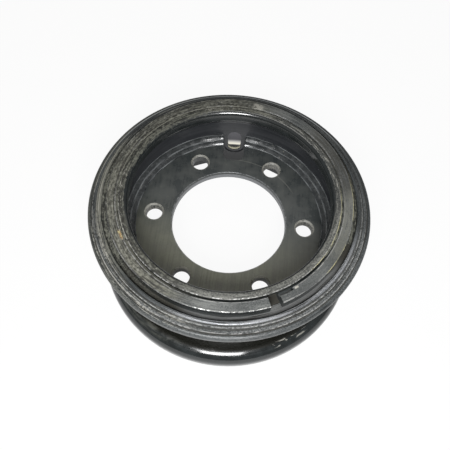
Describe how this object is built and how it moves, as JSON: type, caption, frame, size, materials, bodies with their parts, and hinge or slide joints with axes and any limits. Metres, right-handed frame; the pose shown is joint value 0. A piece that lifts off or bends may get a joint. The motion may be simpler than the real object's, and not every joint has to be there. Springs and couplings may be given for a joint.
{
  "type": "forklift wheel rim",
  "caption": "Multi-piece steel wheel rim with a welded disc, rolled fixed flange, loose side ring and split lock ring, for a forklift's pneumatic tyre.",
  "frame": {"origin": "on the wheel's axis, in the plane of the floor under the fixed flange's edge", "axes": "+Z along the wheel's axis, from the fixed flange to the lock ring; +X through a bolt hole; the valve slot is close to +Y"},
  "size_m": [0.3726, 0.3726, 0.157],
  "materials": {
    "rim_paint": "glossy black paint, scuffed on the lip",
    "disc_paint": "satin black paint",
    "weld_paint": "glossy black paint over the weld",
    "side_ring_paint": "worn black paint with bare edges",
    "lock_ring_paint": "worn black paint with bare edges"
  },
  "bodies": {
    "root": {"rim_base": "rim_paint", "wheel_disc": "disc_paint", "disc_weld": "weld_paint", "side_ring": "side_ring_paint", "lock_ring": "lock_ring_paint"}
  },
  "joints": []
}
